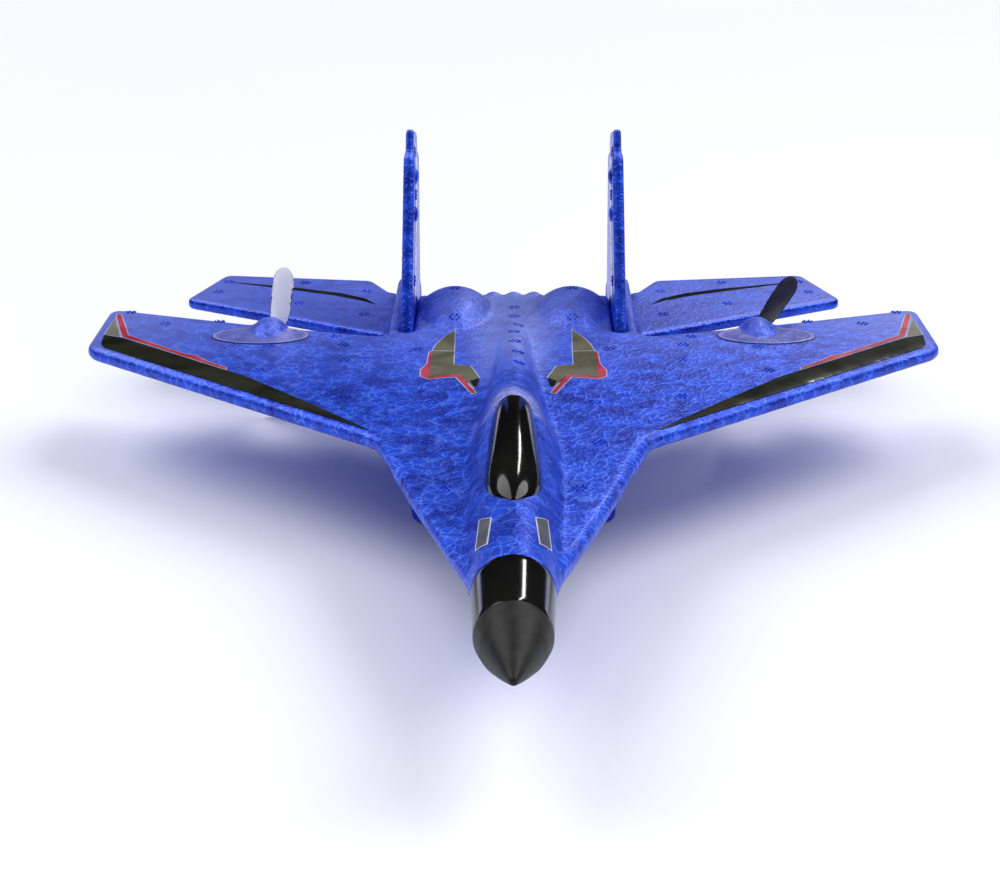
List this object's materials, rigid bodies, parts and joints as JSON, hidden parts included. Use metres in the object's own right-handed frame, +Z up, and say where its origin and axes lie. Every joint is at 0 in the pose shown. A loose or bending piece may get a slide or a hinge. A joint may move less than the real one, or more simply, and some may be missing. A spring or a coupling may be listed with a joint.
{
  "type": "foam model aeroplane",
  "caption": "Radio-controlled foam jet with a swept wing, twin fins, two pusher propellers in trailing-edge pods, a black nose and canopy, and a hinged battery hatch in the belly.",
  "frame": {"origin": "on the ground under the middle of the whole aeroplane's box", "axes": "+Z up, nose towards -Y, right wing (seen from ahead) towards +X"},
  "size_m": [0.275, 0.337, 0.0949],
  "materials": {
    "foam": "satin",
    "fin_foam": "satin",
    "nose_rubber": "matte",
    "gloss_black": "gloss",
    "carbon_rod": "satin",
    "clear_film": "gloss",
    "black_plastic": "satin",
    "white_plastic": "satin",
    "motor_steel": "satin",
    "shaft_steel": "polished",
    "magnet": "satin",
    "copper_coil": "satin",
    "brass": "satin",
    "cell_wrap": "satin",
    "connector_white": "satin",
    "circuit_board": "satin",
    "chip_black": "matte",
    "wire_cover": "satin",
    "antenna_cover": "satin"
  },
  "bodies": {
    "airframe": {"antenna_wire": "antenna_cover", "battery_cell": "cell_wrap", "battery_plug": "connector_white", "battery_socket": "connector_white", "battery_tray": "black_plastic", "canopy": "gloss_black", "hatch_hinge_pin": "shaft_steel", "lead_connectors": "connector_white", "left_fin": "fin_foam", "left_motor_bushing": "brass", "left_motor_can": "motor_steel", "left_motor_cap": "black_plastic", "left_motor_lead": "wire_cover", "left_motor_magnet": "magnet", "left_motor_mount": "black_plastic", "left_motor_patch": "clear_film", "left_tailplane": "fin_foam", "lower_body": "foam", "nose_band": "gloss_black", "nose_cone": "nose_rubber", "power_lead": "wire_cover", "power_switch_body": "black_plastic", "receiver_board": "circuit_board", "receiver_chips": "chip_black", "right_fin": "fin_foam", "right_motor_bushing": "brass", "right_motor_can": "motor_steel", "right_motor_cap": "black_plastic", "right_motor_lead": "wire_cover", "right_motor_magnet": "magnet", "right_motor_mount": "black_plastic", "right_motor_patch": "clear_film", "right_tailplane": "fin_foam", "upper_body": "foam", "wing_spar": "carbon_rod"},
    "left_rotor": {"left_motor_shaft": "shaft_steel", "left_motor_coil": "copper_coil", "left_propeller": "white_plastic"},
    "right_rotor": {"right_motor_shaft": "shaft_steel", "right_motor_coil": "copper_coil", "right_propeller": "black_plastic"},
    "hatch": {"battery_hatch": "black_plastic"},
    "switch_knob": {"power_switch_knob": "white_plastic"}
  },
  "joints": [
    {"name": "left_prop_spin", "type": "hinge", "parent": "airframe", "child": "left_rotor", "pos_m": [-0.0805, 0.09672, 0.02725], "axis": [0, 1, 0], "continuous": true},
    {"name": "right_prop_spin", "type": "hinge", "parent": "airframe", "child": "right_rotor", "pos_m": [0.0805, 0.09672, 0.02725], "axis": [0, 1, 0], "continuous": true},
    {"name": "hatch_hinge", "type": "hinge", "parent": "airframe", "child": "hatch", "pos_m": [0, -0.0635, 0.0136], "axis": [-1, 0, 0], "range_deg": [0, 95]},
    {"name": "switch_slide", "type": "slide", "parent": "airframe", "child": "switch_knob", "axis": [1, 0, 0], "range_m": [0, 0.0016]}
  ]
}
